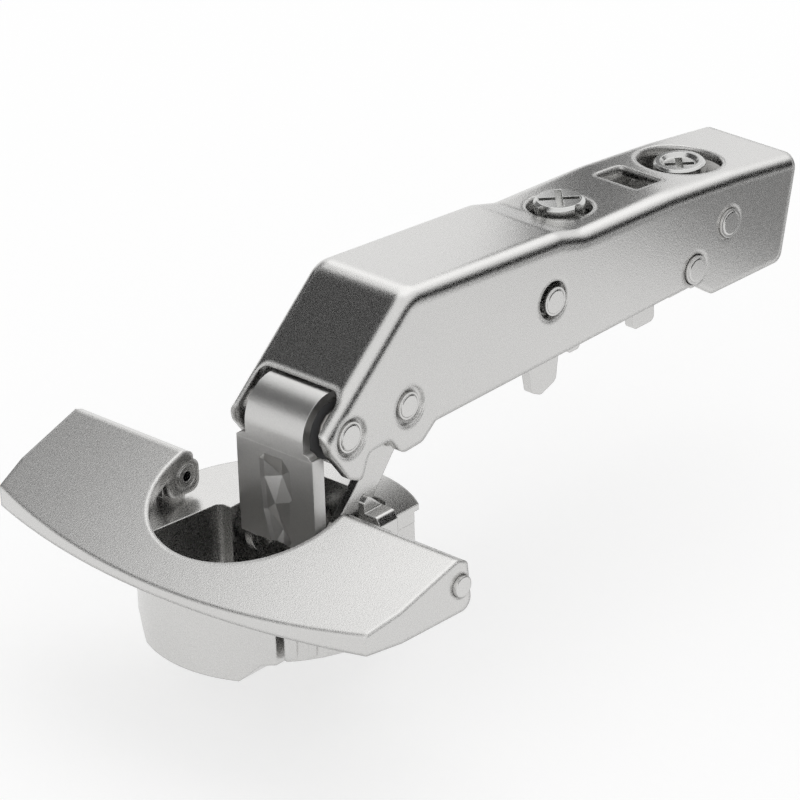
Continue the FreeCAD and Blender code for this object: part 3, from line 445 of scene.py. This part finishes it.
# %% Full web
web_face, web_back = -0.3, -1.6
link = merged_copy("outer_link", "pressed_outer_link")
panel = block("web_panel", (web_back + 0.05, -6.2, -1.9), (web_face + 0.01, 6.2, 11.0))
combine(link, "UNION", panel)
print("web filled:", len(link.data.polygons), "faces")

# %% Link pocket
mouth = [
    (-2.67, 9.18), (-1.61, 10.13), (1.37, 10.21), (2.56, 8.86), (2.87, 4.69),
    (2.49, -1.22), (1.07, -2.92), (-1.16, -2.61), (-2.28, 2.13), (-2.64, 6.4),
]
ledge = [(-0.75, -2.3, 8.7), (-0.75, -2.28, 6.4), (-0.75, -1.92, 2.1), (-0.75, -0.8, -2.2)]
valley = [(-1.45, 0.03, 6.98), (-0.7, -0.61, 3.19), (-1.45, -0.1, -0.43)]
# Corners 0 to 9 are the mouth, 10 to 13 the ledge on its left and 14 to 16 the valley.
pocket = solid(
    "web_pocket",
    [(web_face + 0.1, y, z) for y, z in mouth] + ledge + valley,
    [
        tuple(range(len(mouth))), (0, 9, 11, 10), (9, 8, 12, 11), (8, 7, 13, 12),
        (10, 11, 14), (11, 12, 15, 14), (12, 13, 16, 15),
        (0, 1, 10), (1, 14, 10), (1, 2, 14), (2, 3, 14),
        (3, 4, 15, 14), (4, 5, 16, 15), (5, 6, 16), (6, 7, 13, 16),
    ],
)
combine(link, "DIFFERENCE", pocket)
stand_in(link, "outer_link", "outer_link", finishes["link_sheet"])

# %% Crisp facets
pocket_low = (web_back + 0.1, -3.0, -3.0)
pocket_high = (web_face - 0.02, 3.0, 10.4)
facets = 0
for face in link.data.polygons:
    if all(low < c < high for low, c, high in zip(pocket_low, face.center / mm, pocket_high)):
        face.use_smooth = False
        facets += 1
print("pocket facets:", facets)

# %% [markdown]
# ## Floor
# The floor is a plain pale sheet. For the camera and for reflections it is nearly white, and it
# still darkens under the hinge, because half of its brightness comes from the lamps. It lies a
# little below the cup, so that the cup can swing past its resting angle without meeting it.

# %% Stage planes
def stage_plane(name, centre, normal, width, height):
    """Flat rectangle that faces along normal and isn't part of the hinge."""
    mesh = bpy.data.meshes.new(name)
    turn = Vector(normal).to_track_quat("Z", "Y").to_matrix()
    signs = ((-1, -1), (1, -1), (1, 1), (-1, 1))
    corners = [Vector((a * width / 2, b * height / 2, 0)) for a, b in signs]
    mesh.from_pydata([tuple(Vector(centre) + turn @ c) for c in corners], [], [(0, 1, 2, 3)])
    plane = bpy.data.objects.new(name, mesh)
    collection.objects.link(plane)
    return plane


def dull_material(name, base, glow):
    """Grey without gloss, whose own light has the brightness glow."""
    material, tree, shader = new_material(name)
    shader.inputs["Base Color"].default_value = (base, base, base, 1.0)
    shader.inputs["Roughness"].default_value = 1.0
    shader.inputs["Specular IOR Level"].default_value = 0.0
    shader.inputs["Emission Color"].default_value = (glow, glow, glow, 1.0)
    return material, tree, shader


# %% Floor and its material
def sees_background(tree):
    """1 for rays that show the background itself: camera, mirror and glass rays."""
    path = tree.nodes.new("ShaderNodeLightPath")
    seen = maths(tree, "MAXIMUM", path.outputs["Is Camera Ray"], path.outputs["Is Glossy Ray"])
    return maths(tree, "MAXIMUM", seen, path.outputs["Is Transmission Ray"])


swing_room = 8.6 * mm
floor_glow = 0.55
floor_z = cad_low.z - swing_room
floor = stage_plane("floor", (0, 0, floor_z), (0, 0, 1), 6.0, 6.0)
paper, tree, shader = dull_material("pale_paper", 0.6, 1.0)
glow = maths(tree, "MULTIPLY", sees_background(tree), floor_glow)
tree.links.new(glow, shader.inputs["Emission Strength"])
floor.data.materials.append(paper)
print("floor at", round(floor_z / mm, 2), "mm")

# %% [markdown]
# ## Cards
# Metal looks like what it mirrors. A photographer of plated parts hangs dark and grey cards beside
# the white tent, and they draw the bands along each bend. Each card is placed in the direction in
# which a bend or a sloping face mirrors it, and the camera itself doesn't see it.

# %% Place the cards
def card(name, centre, normal, width, height, shade):
    """Card of one even shade that shows only in reflections."""
    plane = stage_plane(name, centre, normal, width, height)
    plane.visible_camera = False
    plane.visible_diffuse = False
    plane.visible_shadow = False
    cloth, _, shader = dull_material(name, 0.0, shade)
    shader.inputs["Emission Strength"].default_value = 1.0
    plane.data.materials.append(cloth)


card_z = floor_z + 0.3 * mm
card("slope_card", (0.135, -0.22, 0.28), (-0.32, 0.61, -0.73), 0.30, 0.30, 0.05)
card("left_wing_card", (-0.065, -0.20, 0.145), (0.25, 0.55, -0.8), 0.10, 0.12, 0.30)
card("left_card", (-0.02, -0.38, 0.12), (0.05, 0.95, -0.3), 0.20, 0.20, 0.03)
card("bend_card", (-0.27, 0.42, 0.11), (0.54, -0.84, 0.0), 1.0, 0.34, 0.0)
card("low_card", (0.30, -0.25, 0.05), (-0.75, 0.6, 0.0), 0.24, 0.12, 0.90)
card("screw_card", (-0.118, -0.046, 0.055), (0.65, 0.61, -0.45), 0.018, 0.05, 0.10)
card("rear_floor_card", (-0.19, 0.10, card_z), (0, 0, 1), 0.13, 0.13, 0.25)
print("cards placed")

# %% [markdown]
# ## World and lamps
# A white world is the tent. Two large soft lamps give the light a direction: one overhead and a
# little behind the hinge, one from the camera's side.

# %% World
world = bpy.data.worlds.new("tent")
bpy.context.scene.world = world
world.use_nodes = True
tree = world.node_tree
ground = tree.nodes["Background"]
ground.inputs["Color"].default_value = (1.0, 1.0, 1.0, 1.0)
tent_light = 0.6
extra = maths(tree, "MULTIPLY", sees_background(tree), 1.0 - tent_light)
tree.links.new(maths(tree, "ADD", extra, tent_light), ground.inputs["Strength"])
print("world:", world.name)

# %% Lamps
lamp_distance = 1.6


def soft_lamp(name, direction, size, watts):
    """Square lamp that hangs in a direction from the hinge and faces it."""
    light = bpy.data.lights.new(name, "AREA")
    light.shape = "SQUARE"
    light.size = size
    light.energy = watts
    lamp = bpy.data.objects.new(name, light)
    away = Vector(direction).normalized()
    lamp.location = away * lamp_distance
    lamp.rotation_mode = "QUATERNION"
    lamp.rotation_quaternion = away.to_track_quat("Z", "Y")
    collection.objects.link(lamp)
    print(name, watts, "W")


soft_lamp("top_lamp", (-0.5, -0.2, 1.0), 1.8, 4.5)
soft_lamp("front_lamp", (0.9, 0.5, 0.35), 1.4, 2.5)

# %% [markdown]
# ## Camera
# The view is from the cup's end and from above, on the +Y side of the arm, with a long lens, so
# the far end of the arm stays almost as large as the near one.

# %% Camera
lens = bpy.data.cameras.new("camera")
lens.lens = 265.41
lens.sensor_width = 36.0
lens.shift_x = -0.0028
lens.shift_y = 0.0002
lens.clip_start = 0.01
lens.clip_end = 20.0
camera = bpy.data.objects.new("camera", lens)
across = Vector((-0.6705, 0.741, -0.031)).normalized()
back = Vector((0.654, 0.610, 0.447)).normalized()
upward = back.cross(across).normalized()
across = upward.cross(back).normalized()
turn = Matrix((across, upward, back)).transposed().to_4x4()
camera.matrix_world = Matrix.Translation((0.4545, 0.4457, 0.3352)) @ turn
collection.objects.link(camera)
bpy.context.scene.camera = camera
bpy.context.scene.view_settings.view_transform = "Standard"
print("camera:", [round(v, 3) for v in camera.location])
